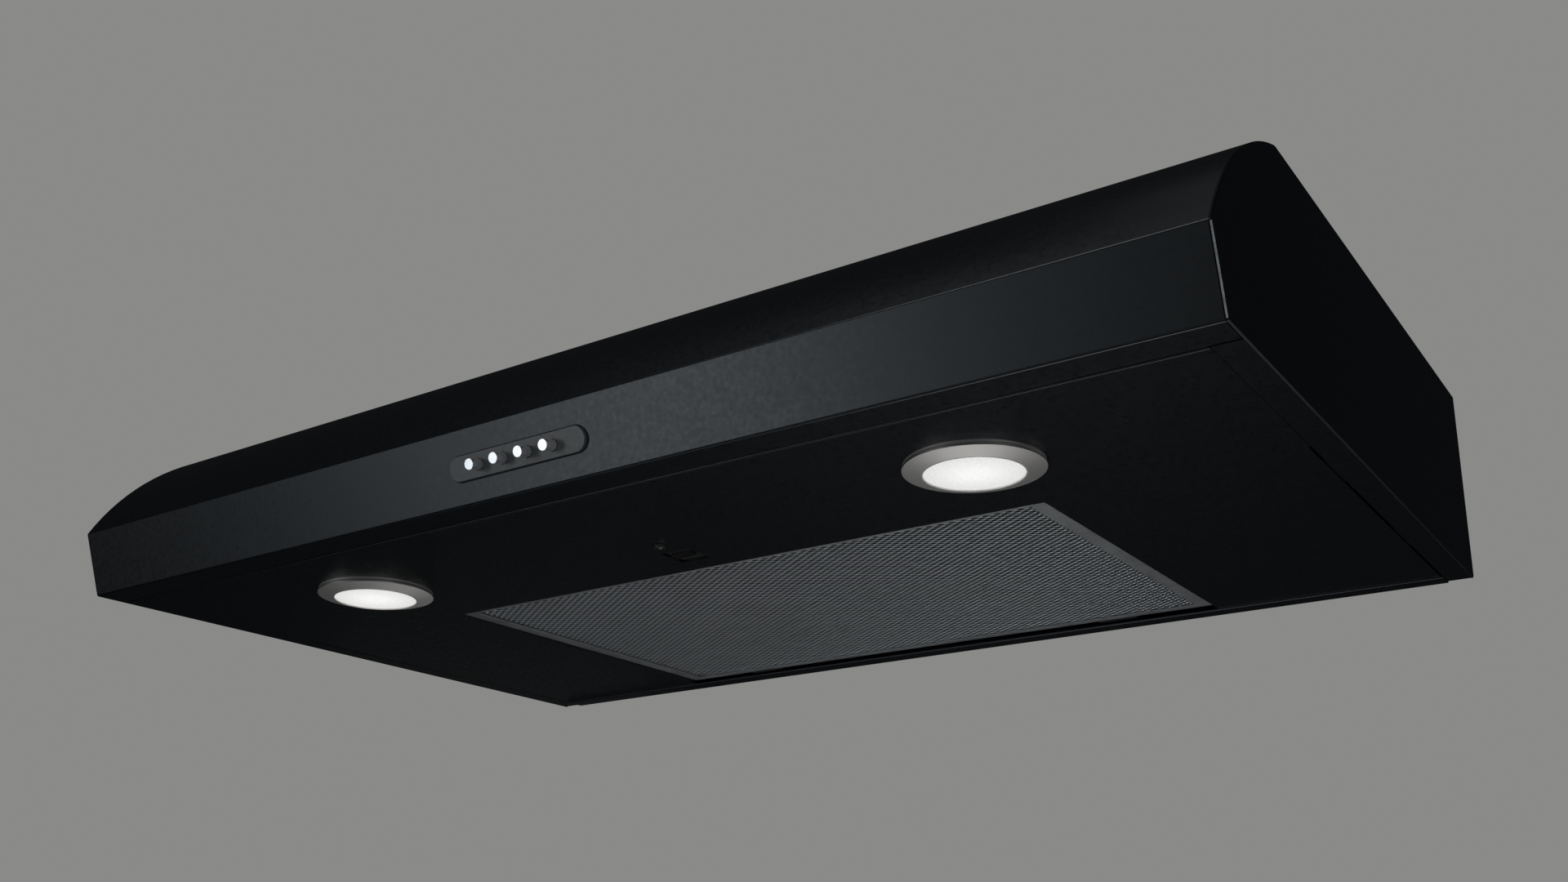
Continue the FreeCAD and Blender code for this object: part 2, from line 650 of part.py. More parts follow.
def make_inlet_guard():
    """Finger guard: rings on four spokes, on feet below the inlet plate."""
    z = SCROLL_BOTTOM - SCROLL_SHEET - 3.0
    guard = tube(WHEEL_X, WHEEL_Y, z, 8, 5, 1.4)
    for radius in (24, 40, 56, 72, 84):
        guard = guard.fuse(tube(WHEEL_X, WHEEL_Y, z, radius + 1.1, radius - 1.1, 1.4))
    for turn in range(4):
        spoke = box(7, 85, -1.3, 1.3, z, z + 1.4)
        spoke = spoke.fuse(box(82.5, 85, -4, 4, z, z + 2.85))
        spoke.rotate(HERE, Z_AXIS, 45 + 90 * turn)
        spoke.translate(vec(WHEEL_X, WHEEL_Y, 0))
        guard = guard.fuse(spoke)
    return guard


def make_impeller():
    dish = [(WHEEL_R, 106.5), (WHEEL_R, 108), (55, 108), (47.5, 73), (12, 73), (12, 80)]
    dish += [(4.05, 80), (4.05, 62), (12, 62), (12, 71.5), (49, 71.5), (56.3, 106.5)]
    wheel = turned(dish, 0, 0)
    rim = turned([(86, 55), (WHEEL_R, 55), (WHEEL_R, 58), (86, 58)], 0, 0)
    inner_end = vec(WHEEL_INNER_R + 0.5, 0, 57)
    outer_end = vec(90.0, 10.0, 57)
    belly = vec(84.5, 2.4, 57)
    shift = vec(-0.4, 0.7, 0)
    front = arc(inner_end, belly, outer_end)
    back = arc(outer_end + shift, belly + shift, inner_end + shift)
    ends = [Part.LineSegment(outer_end, outer_end + shift).toShape()]
    ends.append(Part.LineSegment(inner_end + shift, inner_end).toShape())
    blade = Part.Face(Part.Wire([front, ends[0], back, ends[1]])).extrude(vec(0, 0, 50))
    blades = []
    for turn in range(BLADES):
        copy = blade.copy()
        copy.rotate(HERE, Z_AXIS, 360.0 / BLADES * turn)
        blades.append(copy)
    wheel = wheel.multiFuse([rim] + blades)
    wheel.translate(vec(WHEEL_X, WHEEL_Y, 0))
    return wheel


def make_impeller_nut():
    nut = Part.makePolygon([vec(7 * math.cos(math.radians(60 * k)),
                                7 * math.sin(math.radians(60 * k)), 0) for k in range(7)])
    nut = Part.Face(nut).extrude(vec(0, 0, 6))
    nut.translate(vec(WHEEL_X, WHEEL_Y, 55.9))
    return nut.cut(rod(WHEEL_X, WHEEL_Y, 50, 4.0, 20))


def make_motor_shaft():
    return rod(WHEEL_X, WHEEL_Y, 54, 4.0, 62)


def make_motor_rotor():
    return tube(WHEEL_X, WHEEL_Y, 88, 17, 4.0, 20)


def make_motor_stator():
    ring = tube(WHEEL_X, WHEEL_Y, 89, 38.4, 17.5, 18)
    for turn in range(6):
        slot = box(19, 30, -3, 3, 80, 120)
        slot.rotate(HERE, Z_AXIS, 60 * turn)
        slot.translate(vec(WHEEL_X, WHEEL_Y, 0))
        ring = ring.cut(slot)
    return ring


def make_motor_can():
    profile = [(9, 82.5), (38, 82.5), (40, 84.5), (40, 112), (38.5, 112), (38.5, 84), (12.1, 84)]
    profile += [(12.1, 87), (9, 87)]
    return turned(profile, WHEEL_X, WHEEL_Y)


def make_motor_cap():
    profile = [(38.4, 111.9), (38.4, 112.1), (40, 112.1), (40, 113.6), (12.1, 113.6)]
    profile += [(12.1, 116.4), (9, 116.4), (9, 110.5), (12.1, 110.5), (12.1, 111.9)]
    cap = turned(profile, WHEEL_X, WHEEL_Y)
    ears = []
    for turn in range(3):
        ear = box(36, 52, -6, 6, 112.1, 113.6)
        ear.rotate(HERE, Z_AXIS, 30 + 120 * turn)
        ear.translate(vec(WHEEL_X, WHEEL_Y, 0))
        ears.append(ear)
    cap = join(cap, *ears)
    return cut_all(cap, [rod(x, y, 100, 3.0, 30) for x, y in motor_screw_positions()])


def make_motor_bearings():
    lower = tube(WHEEL_X, WHEEL_Y, 82.6, 8.95, 4.05, 4.2)
    upper = tube(WHEEL_X, WHEEL_Y, 110.7, 8.95, 4.05, 4.2)
    return Part.makeCompound([lower, upper])


def make_motor_grommets():
    rings = []
    for x, y in motor_screw_positions():
        low = rod(x, y, 113.65, 6.0, 4.3)
        rings.append(low.cut(rod(x, y, 100, 2.1, 30)))
    return Part.makeCompound(rings)


def make_motor_screws():
    return Part.makeCompound([pan_head_screw(x, y, 112.05, 2.0, 4.0, 9, Z_AXIS)
                              for x, y in motor_screw_positions()])


# ---- outlet ---------------------------------------------------------------------------
def make_duct_collar():
    top = HEIGHT + COLLAR_HEIGHT
    a = PORT_HALF_X
    wall = box(-a, a, PORT_FRONT, PORT_REAR, HEIGHT, top)
    flange = box(-a - 14, a + 14, PORT_FRONT - 14, PORT_REAR + 14, HEIGHT, HEIGHT + SHEET)
    collar = join(wall, flange)
    hollow = box(-a + SHEET, a - SHEET, PORT_FRONT + SHEET, PORT_REAR - SHEET, HEIGHT - 1, top + 1)
    cutters = [hollow]
    pin_y, pin_z = damper_axis()
    cutters.append(rod(-a - 1, pin_y, pin_z, 2.06, 2 * a + 2, X_AXIS))
    for x, y in collar_screw_positions():
        cutters.append(rod(x, y, HEIGHT - 1, 2.1, 5))
    ledge = box(-a + SHEET, a - SHEET, PORT_FRONT + SHEET, PORT_FRONT + 4, HEIGHT + 5, HEIGHT + 6)
    return join(cut_all(collar, cutters), ledge)


def damper_axis():
    return PORT_REAR - 6.0, HEIGHT + DAMPER_AXIS_RISE


def make_damper_flap():
    pin_y, pin_z = damper_axis()
    half = PORT_HALF_X - SHEET - 2.0
    blade = box(-half, half, PORT_FRONT + 2.0, pin_y - 2.0, pin_z - 0.4, pin_z + 0.4)
    rib = box(-half, half, PORT_FRONT + 30, PORT_FRONT + 31, pin_z, pin_z + 3)
    barrel = tube(-half, pin_y, pin_z, 2.9, 2.0, 2 * half, X_AXIS)
    flap = join(blade, rib, barrel)
    slot = rod(-half - 1, pin_y, pin_z, 2.0, 2 * half + 2, X_AXIS)
    return flap.cut(slot)


def make_damper_rod():
    pin_y, pin_z = damper_axis()
    half = PORT_HALF_X + 0.8
    return rod(-half, pin_y, pin_z, 2.0, 2 * half, X_AXIS)


def make_sheet_screws():
    """The small screws of the collar, the wiring cover and the rear port cover."""
    screws = []
    for x, y in collar_screw_positions():
        screws.append(pan_head_screw(x, y, HEIGHT + SHEET, 1.5, 3.0, 5, vec(0, 0, -1)))
    for x, y in wiring_screw_positions():
        screws.append(pan_head_screw(x, y, WIRING_BOTTOM - 1.2, 1.5, 3.0, 5, Z_AXIS))
    for x, z in port_screw_positions():
        screws.append(pan_head_screw(x, DEPTH - 2.05, z, 1.5, 3.0, 1.9, Y_AXIS))
    return Part.makeCompound(screws)


# ---- electrical pieces ----------------------------------------------------------------
def wiring_screw_positions():
    for y in (362, 440):
        for x in (230, 330):
            yield x, y


def make_wiring_box():
    low = WIRING_BOTTOM
    top = HEIGHT - SHEET - 2.4
    back = DEPTH - 3.2
    shell = box(225, 335, 350, back, low, top).cut(box(226, 334, 351, back - 1, low - 1, top - 1))
    cutters = [rod(ENTRY_X, DEPTH - 8, ENTRY_Z, 9.6, 12, Y_AXIS)]
    cutters.append(rod(250, 345, 75, 7.1, 12, Y_AXIS))
    tabs = []
    for x, y in wiring_screw_positions():
        tabs.append(box(x - 4, x + 4, y - 4, y + 4, low, low + 1))
        cutters.append(rod(x, y, low - 2, 1.6, 6))
    return cut_all(join(shell, *tabs), cutters)


def make_wiring_cover():
    low = WIRING_BOTTOM - 1.1
    cover = box(224, 336, 349, DEPTH - 3.2, low, low + 1.0)
    return cut_all(cover, [rod(x, y, low - 1, 1.6, 4) for x, y in wiring_screw_positions()])


def make_terminal_block():
    top = HEIGHT - SHEET - 3.5
    block = box(258, 302, 392, 410, top - 16, top)
    for x in (265, 280, 295):
        block = block.cut(rod(x, 401, top - 17, 3.2, 8))
        block = block.cut(box(x - 2.5, x + 2.5, 391, 411, top - 8, top - 3))
    return block


def make_cable_bushing():
    """Strain-relief bushing in the supply entry, with a bore for the house wiring."""
    back = DEPTH - 9.2
    body = rod(ENTRY_X, back, ENTRY_Z, 9.4, 9.2, Y_AXIS)
    nut = rod(ENTRY_X, back, ENTRY_Z, 14.0, 3.6, Y_AXIS)
    flats = []
    for turn in range(8):
        flat = box(-20, 20, 12.6, 20, -4, 12)
        flat.rotate(HERE, Z_AXIS, 45 * turn)
        flat.rotate(HERE, X_AXIS, -90)
        flat.translate(vec(ENTRY_X, back, ENTRY_Z))
        flats.append(flat)
    nut = cut_all(nut, flats)
    collar = rod(ENTRY_X, DEPTH - 3.1, ENTRY_Z, 10.9, 3.1, Y_AXIS)
    return join(body, collar, nut).cut(rod(ENTRY_X, back - 2, ENTRY_Z, 6.5, 20, Y_AXIS))


def make_capacitor():
    can = rod(215, 260, 96, 17, 60, Y_AXIS)
    can = can.makeFillet(1.5, [e for e in can.Edges if e.Closed])
    terminal_a = box(208, 210, 250, 260.5, 94, 98)
    terminal_b = box(220, 222, 250, 260.5, 94, 98)
    return join(can, terminal_a, terminal_b)


def make_capacitor_strap():
    top = HEIGHT - SHEET - 0.1
    band = tube(215, 284, 96, 18.2, 17.1, 12, Y_AXIS)
    feet = box(192, 238, 284, 296, top - 1.2, top).cut(rod(215, 280, 96, 17.1, 20, Y_AXIS))
    side_a = box(196.8, 198.0, 284, 296, 96, top)
    side_b = box(232.0, 233.2, 284, 296, 96, top)
    band = band.cut(box(190, 240, 280, 300, 96.5, 125))
    return join(band, feet, side_a, side_b)


def make_led_driver():
    top = HEIGHT - SHEET - 0.1
    case = box(-330, -240, 235, 285, top - 24, top)
    case = case.makeFillet(2.0, [e for e in case.Edges if e.BoundBox.ZLength > 20])
    ears = [box(-342, -329, 250, 270, top - 2, top), box(-241, -228, 250, 270, top - 2, top)]
    driver = join(case, *ears)
    return cut_all(driver, [rod(x, 260, top - 5, 2.0, 8) for x in (-336, -234)])


def make_cables():
    """Internal wiring: switch lead, both lamp leads and the motor lead."""
    switch_lead = cable([vec(40, 34, 40), vec(60, 34, 46), vec(150, 40, 62), vec(350, 60, 62),
                         vec(350, 330, 75), vec(250, 331, 75), vec(250, 350, 75)], 3.0, 8.0)
    driver_face = 234.9
    left_lead = cable([vec(-LAMP_X, LAMP_Y, 34.4), vec(-LAMP_X, LAMP_Y, 60), vec(-290, 130, 80),
                       vec(-290, 190, 110), vec(-290, driver_face, 110)], 2.2, 10.0)
    right_lead = cable([vec(LAMP_X, LAMP_Y, 34.4), vec(LAMP_X, LAMP_Y, 70), vec(160, 78, 98),
                        vec(-190, 78, 98), vec(-262, 170, 110),
                        vec(-262, driver_face, 110)], 2.2, 8.0)
    return Part.makeCompound([switch_lead, left_lead, right_lead])


# ---- export ---------------------------------------------------------------------------
def save(name, shape):
    placed = shape.copy()
    placed.translate(TO_MOUNT)
    for solid in placed.Solids:
        if not solid.isValid() or solid.Volume <= 0:
            raise ValueError(name + " has a solid that is not valid")
    placed.exportStep("parts/" + name + ".step")
    print(name, len(placed.Solids), round(placed.Volume / 1000.0, 2))


def save_body():
    right = make_side_panel_right()
    save("canopy_shell", make_canopy_shell())
    save("top_panel", make_top_panel())
    save("side_panel_right", right)
    save("side_panel_left", mirrored(right))
    save("rear_panel", make_rear_panel())
    save("rear_port_cover", make_rear_port_cover())
    save("bottom_pan", make_bottom_pan())


def save_lamps():
    for side, x in (("left", -LAMP_X), ("right", LAMP_X)):
        save("lamp_bezel_" + side, make_lamp_bezel(x))
        save("lamp_lens_" + side, make_lamp_lens(x))
        save("lamp_housing_" + side, make_lamp_housing(x))
        save("led_board_" + side, make_led_board(x))
    save("lamp_clips", Part.makeCompound(lamp_clip_pair(-LAMP_X) + lamp_clip_pair(LAMP_X)))


def save_filter():
    save("filter_frame", make_filter_frame())
    save("filter_face_mesh", filter_sheet(2.65, 0.8))
    save("filter_back_mesh", filter_sheet(9.15, 0.8))
    save("filter_mesh_layers", make_filter_mesh_layers())
    save("filter_rear_tabs", make_filter_rear_tabs())
    save("latch_slider", make_latch_slider())
    save("latch_nut", make_latch_nut())
    save("latch_screw", pan_head_screw(LATCH_X, LATCH_SCREW_Y, -0.05, 2.0, 4.6, 8, Z_AXIS))


def save_controls():
    save("control_plate", make_control_plate())
    for index in range(4):
        save("button_cap_" + str(index + 1), make_button_cap(index))
        save("button_stem_" + str(index + 1), make_button_stem(index))
    save("switch_block", make_switch_block())
    save("switch_bracket", make_switch_bracket())


def save_blower():
    save("blower_scroll", make_blower_scroll())
    save("inlet_plate", make_inlet_plate())
    save("inlet_guard", make_inlet_guard())
    save("impeller", make_impeller())
    save("impeller_nut", make_impeller_nut())
    save("motor_shaft", make_motor_shaft())
    save("motor_rotor", make_motor_rotor())
    save("motor_stator", make_motor_stator())
    save("motor_can", make_motor_can())
    save("motor_cap", make_motor_cap())
    save("motor_bearings", make_motor_bearings())
    save("motor_grommets", make_motor_grommets())
    save("motor_screws", make_motor_screws())


def save_outlet():
    save("duct_collar", make_duct_collar())
    save("damper_flap", make_damper_flap())
    save("damper_rod", make_damper_rod())
    save("sheet_screws", make_sheet_screws())


def save_electrics():
    save("wiring_box", make_wiring_box())
    save("wiring_cover", make_wiring_cover())
    save("terminal_block", make_terminal_block())
    save("cable_bushing", make_cable_bushing())
    save("capacitor", make_capacitor())
    save("capacitor_strap", make_capacitor_strap())
    save("led_driver", make_led_driver())
    save("internal_wiring", make_cables())


os.makedirs("parts", exist_ok=True)
save_body()
save_lamps()
save_filter()
save_controls()
save_blower()
save_outlet()
save_electrics()
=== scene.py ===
import json
import math
import random
import bpy
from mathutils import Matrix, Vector


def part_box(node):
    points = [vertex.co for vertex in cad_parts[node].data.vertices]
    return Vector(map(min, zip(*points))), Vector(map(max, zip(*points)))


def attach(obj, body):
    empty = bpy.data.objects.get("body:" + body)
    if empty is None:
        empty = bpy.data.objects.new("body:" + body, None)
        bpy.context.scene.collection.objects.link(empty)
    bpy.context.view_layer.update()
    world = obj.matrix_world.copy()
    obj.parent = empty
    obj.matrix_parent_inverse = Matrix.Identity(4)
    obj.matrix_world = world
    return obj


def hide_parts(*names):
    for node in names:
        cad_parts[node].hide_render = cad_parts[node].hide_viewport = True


# Under cabinet range hood: camera, studio, materials and the finer pieces that stand for
# plain CAD solids. Everything is in metres, in the CAD model's frame.

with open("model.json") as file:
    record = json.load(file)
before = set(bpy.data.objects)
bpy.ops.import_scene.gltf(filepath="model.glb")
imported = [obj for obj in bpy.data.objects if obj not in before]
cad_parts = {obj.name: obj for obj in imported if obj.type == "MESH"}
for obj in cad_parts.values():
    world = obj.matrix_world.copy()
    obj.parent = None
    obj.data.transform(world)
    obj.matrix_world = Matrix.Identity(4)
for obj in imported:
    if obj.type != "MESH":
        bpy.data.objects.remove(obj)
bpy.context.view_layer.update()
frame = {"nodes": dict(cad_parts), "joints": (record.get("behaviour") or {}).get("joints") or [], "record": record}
NODES = frame["nodes"]
RECORD = frame["record"]
MM = 0.001
random.seed(20)

# ---- camera ---------------------------------------------------------------------------
CAMERA_PLACE = (0.5606, -0.8623, -0.3940)
CAMERA_PITCH = 14.93         # degrees above the horizon
CAMERA_YAW = 34.08           # degrees from +Y towards -X
CAMERA_LENS = 36.37
CAMERA_SHIFT = 0.10

# ---- filter, metres -------------------------------------------------------------------
SIDE_LIP = 11.0 * MM
END_LIP = 7.0 * MM
FRAME_SKIN = 0.8 * MM
CELL_X = 7.2 * MM            # pitch of the expanded mesh
CELL_Y = 4.95 * MM
HOLE_X = 2.45 * MM           # half length and half width of a hole
HOLE_Y = 1.5 * MM
MESH_RISE = 0.12 * MM        # half the thickness of a strand
BOND_RISE = 0.85             # rise of a strand's middle, as a share of MESH_RISE
HOLE_DROP = 0.8              # how low a hole's rim lies, as a share of MESH_RISE
HOLE_TILT = 0.02             # slope of a hole's rim towards the front
MESH_JITTER = 0.012          # uneven stretching, as a share of the cell
MESH_UNDER_LIP = 2.0 * MM    # how far a sheet reaches under the frame's lips
BACK_MESH_GROW = 1.5         # the back sheet's cells are this much coarser
FRAME_BEND = 1.1 * MM
LIP_CHAMFER = 0.15 * MM
MITRE_GAP = 0.12 * MM

# ---- lamps and controls, metres -------------------------------------------------------
LENS_RINGS = 40
LENS_SPOKES = 120
LENS_CROWN = 0.5 * MM        # how far the lens bulges
PEBBLE_RISE = 0.06 * MM
PLATE_HEIGHT = 14.0 * MM
BUTTON_MIDDLE = 3.75 * MM    # a cap's middle stands this far in front of the fascia
BUTTON_BEVEL = 0.22 * MM
BUTTON_FOOT = 0.1 * MM
BUTTON_SIDES = 72
# Dark ring round the control plate: painted shade for the shadow gap at the plate's edge.
SHADE_RING_STEPS = 48
SHADE_RING_OUTLINE = [(0.02, 0.02), (0.18, 0.05), (0.18, 0.62), (0.02, 0.65)]  # mm: rise, growth

# ---- studio, metres -------------------------------------------------------------------
STUDIO_AIM = (0.0, -0.1, -0.06)
FLOOR_HEIGHT = -1.9
FLOOR_HALF = 300.0


# ---- node helpers ---------------------------------------------------------------------
def start_material(name):
    material = bpy.data.materials.new(name)
    material.use_nodes = True
    tree = material.node_tree
    return material, tree, tree.nodes["Principled BSDF"]


def place_coordinates(tree):
    return tree.nodes.new("ShaderNodeTexCoord").outputs["Object"]


def noise(tree, scale, detail=3.0, vector=None):
    texture = tree.nodes.new("ShaderNodeTexNoise")
    texture.inputs["Scale"].default_value = scale
    texture.inputs["Detail"].default_value = detail
    tree.links.new(vector or place_coordinates(tree), texture.inputs["Vector"])
    return texture.outputs["Fac"]


def stretched(tree, factors):
    mapping = tree.nodes.new("ShaderNodeMapping")
    mapping.inputs["Scale"].default_value = factors
    tree.links.new(place_coordinates(tree), mapping.inputs["Vector"])
    return mapping.outputs["Vector"]


def between(tree, factor, low, high, start=0.3, end=0.7):
    """A number that goes from low to high as factor goes from start to end."""
    ranged = tree.nodes.new("ShaderNodeMapRange")
    ranged.inputs["From Min"].default_value = start
    ranged.inputs["From Max"].default_value = end
    ranged.inputs["To Min"].default_value = low
    ranged.inputs["To Max"].default_value = high
    tree.links.new(factor, ranged.inputs["Value"])
    return ranged.outputs["Result"]


def colours(tree, factor, stops):
    """A colour ramp with the given (position, (r, g, b)) stops."""
    ramp = tree.nodes.new("ShaderNodeValToRGB")
    elements = ramp.color_ramp.elements
    while len(elements) < len(stops):
        elements.new(0.5)
    for element, (position, colour) in zip(elements, stops):
        element.position = position
        element.color = (*colour, 1.0)
    tree.links.new(factor, ramp.inputs["Fac"])
    return ramp.outputs["Color"]


def raise_surface(tree, shader, height, strength, distance):
    bump = tree.nodes.new("ShaderNodeBump")
    bump.inputs["Strength"].default_value = strength
    bump.inputs["Distance"].default_value = distance
    tree.links.new(height, bump.inputs["Height"])
    tree.links.new(bump.outputs["Normal"], shader.inputs["Normal"])


def math_node(tree, operation, *values):
    made = tree.nodes.new("ShaderNodeMath")
    made.operation = operation
    for slot, value in zip(made.inputs, values):
        if isinstance(value, (int, float)):
            slot.default_value = value
        else:
            tree.links.new(value, slot)
    return made.outputs[0]


def shades(base, spread):
    dark = tuple(channel * (1 - spread) for channel in base)
    light = tuple(channel * (1 + spread) for channel in base)
    return dark, light


def mottled(name, base, spread, roughness, metallic=0.0, scale=70.0, bump=0.1, depth=0.05):
    """A finish whose colour, gloss and surface all vary a little with a fine noise."""
    material, tree, shader = start_material(name)
    grain = noise(tree, scale)
    dark, light = shades(base, spread)
    ramp = colours(tree, grain, [(0.35, dark), (0.65, light)])
    tree.links.new(ramp, shader.inputs["Base Color"])
    rough = between(tree, noise(tree, scale * 0.4), roughness * 0.88, roughness * 1.12)
    tree.links.new(rough, shader.inputs["Roughness"])
    shader.inputs["Metallic"].default_value = metallic
    raise_surface(tree, shader, grain, bump, depth * MM)
    return material, shader


# ---- materials ------------------------------------------------------------------------
def black_enamel():
    base = (0.0020, 0.0023, 0.0028)
    material, shader = mottled("black_enamel", base, 0.15, 0.30, scale=900, bump=0.01)
    shader.inputs["Specular Tint"].default_value = (0.84, 0.93, 1.0, 1.0)
    return material


def grey_enamel():
    base = (0.028, 0.033, 0.037)
    return mottled("grey_enamel", base, 0.10, 0.36, scale=900, bump=0.02)[0]


def galvanised_sheet():
    material, tree, shader = start_material("galvanised_sheet")
    cells = tree.nodes.new("ShaderNodeTexVoronoi")
    cells.inputs["Scale"].default_value = 95.0
    tree.links.new(place_coordinates(tree), cells.inputs["Vector"])
    tone = tree.nodes.new("ShaderNodeSeparateColor")
    tree.links.new(cells.outputs["Color"], tone.inputs["Color"])
    stops = [(0.0, (0.30, 0.31, 0.32)), (1.0, (0.46, 0.47, 0.48))]
    tree.links.new(colours(tree, tone.outputs["Red"], stops), shader.inputs["Base Color"])
    rough = between(tree, tone.outputs["Green"], 0.36, 0.56, 0.0, 1.0)
    tree.links.new(rough, shader.inputs["Roughness"])
    shader.inputs["Metallic"].default_value = 0.6
    raise_surface(tree, shader, tone.outputs["Blue"], 0.08, 0.05 * MM)
    return material


def lamp_distance(tree):
    """Distance in millimetres from the nearer lamp's upright axis."""
    low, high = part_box("lamp_lens_right")
    middle = (low + high) / 2
    parts = tree.nodes.new("ShaderNodeSeparateXYZ")
    tree.links.new(place_coordinates(tree), parts.inputs["Vector"])
    beside = math_node(tree, "ABSOLUTE", parts.outputs["X"])
    across = math_node(tree, "SUBTRACT", beside, middle.x)
    along = math_node(tree, "SUBTRACT", parts.outputs["Y"], middle.y)
    squares = math_node(tree, "ADD", math_node(tree, "MULTIPLY", across, across),
                        math_node(tree, "MULTIPLY", along, along))
    return math_node(tree, "MULTIPLY", math_node(tree, "SQRT", squares), 1000.0)


def brushed_nickel():
    material, tree, shader = start_material("brushed_nickel")
    rings = tree.nodes.new("ShaderNodeTexNoise")
    rings.noise_dimensions = "1D"
    rings.inputs["Scale"].default_value = 4.0
    rings.inputs["Detail"].default_value = 4.0
    tree.links.new(lamp_distance(tree), rings.inputs["W"])
    stops = [(0.35, (0.60, 0.59, 0.57)), (0.65, (0.76, 0.75, 0.73))]
    tree.links.new(colours(tree, rings.outputs["Fac"], stops), shader.inputs["Base Color"])
    rough = between(tree, rings.outputs["Fac"], 0.44, 0.56)
    tree.links.new(rough, shader.inputs["Roughness"])
    shader.inputs["Metallic"].default_value = 1.0
    raise_surface(tree, shader, rings.outputs["Fac"], 0.25, 0.06 * MM)
    return material


def frosted_lens():
    material, tree, shader = start_material("frosted_lens")
    pebbles = noise(tree, 620, 1.0)
    away = between(tree, lamp_distance(tree), 0.90, 0.70, 6.0, 26.0)
    grain = between(tree, pebbles, 0.93, 1.05)
    glow = math_node(tree, "MULTIPLY", away, grain)
    stops = [(0.0, (0.0, 0.0, 0.0)), (1.0, (1.0, 0.995, 0.985))]
    tree.links.new(colours(tree, glow, stops), shader.inputs["Emission Color"])
    tree.links.new(colours(tree, pebbles, [(0.3, (0.08, 0.08, 0.08)), (0.7, (0.1, 0.1, 0.1))]),
                   shader.inputs["Base Color"])
    shader.inputs["Emission Strength"].default_value = 1.0
    shader.inputs["Roughness"].default_value = 0.35
    raise_surface(tree, shader, pebbles, 0.4, 0.2 * MM)
    return material


def cast_aluminium():
    base = (0.42, 0.43, 0.44)
    return mottled("cast_aluminium", base, 0.12, 0.55, 0.9, scale=400, bump=0.3)[0]


def white_board():
    return mottled("white_board", (0.72, 0.72, 0.70), 0.04, 0.5, scale=300)[0]


def spring_steel():
    base = (0.34, 0.34, 0.35)
    return mottled("spring_steel", base, 0.10, 0.34, 1.0, scale=240, bump=0.1)[0]


def filter_aluminium():
    material, tree, shader = start_material("filter_aluminium")
    lines = noise(tree, 160, 4.0, stretched(tree, (1.0, 1.0, 6.0)))
    stops = [(0.35, (0.34, 0.36, 0.37)), (0.65, (0.42, 0.44, 0.45))]
    tree.links.new(colours(tree, lines, stops), shader.inputs["Base Color"])
    tree.links.new(between(tree, noise(tree, 40), 0.44, 0.54), shader.inputs["Roughness"])
    shader.inputs["Metallic"].default_value = 1.0
    raise_surface(tree, shader, lines, 0.1, 0.05 * MM)
    return material


def filter_mesh():
    base = (0.90, 0.95, 0.99)
    return mottled("filter_mesh", base, 0.01, 0.36, 1.0, scale=500, bump=0.05)[0]


# Painted shade: the inner foils are coloured near-black for the shade behind the face mesh, not with their own
# aluminium colour.
def filter_foil():
    base = (0.006, 0.0065, 0.007)
    return mottled("filter_foil", base, 0.3, 0.8, 0.0, scale=240, bump=0.2)[0]


def zinc_fasteners():
    return mottled("zinc_fasteners", (0.50, 0.50, 0.47), 0.10, 0.36, 1.0, scale=500)[0]


# Dark oxide finish of the latch and screws. On the filter's rear tabs, which get this slot in model.json, it is
# painted shade that keeps the gap behind the filter dark.
def black_oxide():
    return mottled("black_oxide", (0.012, 0.012, 0.013), 0.2, 0.38, 0.3, scale=500)[0]


def chrome_button():
    base = (0.80, 0.81, 0.82)
    return mottled("chrome_button", base, 0.04, 0.20, 0.9, scale=260, bump=0.02)[0]


def black_plastic():
    return mottled("black_plastic", (0.018, 0.018, 0.019), 0.15, 0.5, scale=500, bump=0.2)[0]


def grey_plastic():
    return mottled("grey_plastic", (0.10, 0.105, 0.11), 0.1, 0.5, scale=240, bump=0.1)[0]


def shaft_steel():
    return mottled("shaft_steel", (0.45, 0.45, 0.46), 0.08, 0.28, 1.0, scale=400)[0]


def lamination_steel():
    material, tree, shader = start_material("lamination_steel")
    sheets = noise(tree, 90, 2.0, stretched(tree, (1.0, 1.0, 40.0)))
    stops = [(0.35, (0.12, 0.12, 0.125)), (0.65, (0.24, 0.24, 0.25))]
    tree.links.new(colours(tree, sheets, stops), shader.inputs["Base Color"])
    tree.links.new(between(tree, sheets, 0.45, 0.65), shader.inputs["Roughness"])
    shader.inputs["Metallic"].default_value = 0.8
    raise_surface(tree, shader, sheets, 0.4, 0.1 * MM)
    return material


def motor_paint():
    return mottled("motor_paint", (0.035, 0.036, 0.038), 0.15, 0.45, scale=300, bump=0.15)[0]


def grommet_rubber():
    base = (0.010, 0.010, 0.011)
    material, shader = mottled("grommet_rubber", base, 0.2, 0.8, scale=500, bump=0.2)
    shader.inputs["Specular IOR Level"].default_value = 0.12
    return material


def white_plastic():
    return mottled("white_plastic", (0.58, 0.58, 0.56), 0.05, 0.45, scale=260, bump=0.1)[0]


def cable_sheath():
    return mottled("cable_sheath", (0.04, 0.04, 0.042), 0.15, 0.5, scale=300, bump=0.1)[0]


def make_materials():
    makers = [black_enamel, grey_enamel, galvanised_sheet, brushed_nickel, frosted_lens]
    makers += [cast_aluminium, white_board, spring_steel, filter_aluminium, filter_mesh]
    makers += [zinc_fasteners, black_oxide, chrome_button, black_plastic, grey_plastic]
    makers += [shaft_steel, lamination_steel, motor_paint, grommet_rubber, white_plastic]
    makers += [cable_sheath]
    return {maker.__name__: maker() for maker in makers}


def paint(thing, material):
    if not thing.material_slots:
        thing.data.materials.append(material)
    for material_slot in thing.material_slots:
        material_slot.link = "OBJECT"
        material_slot.material = material


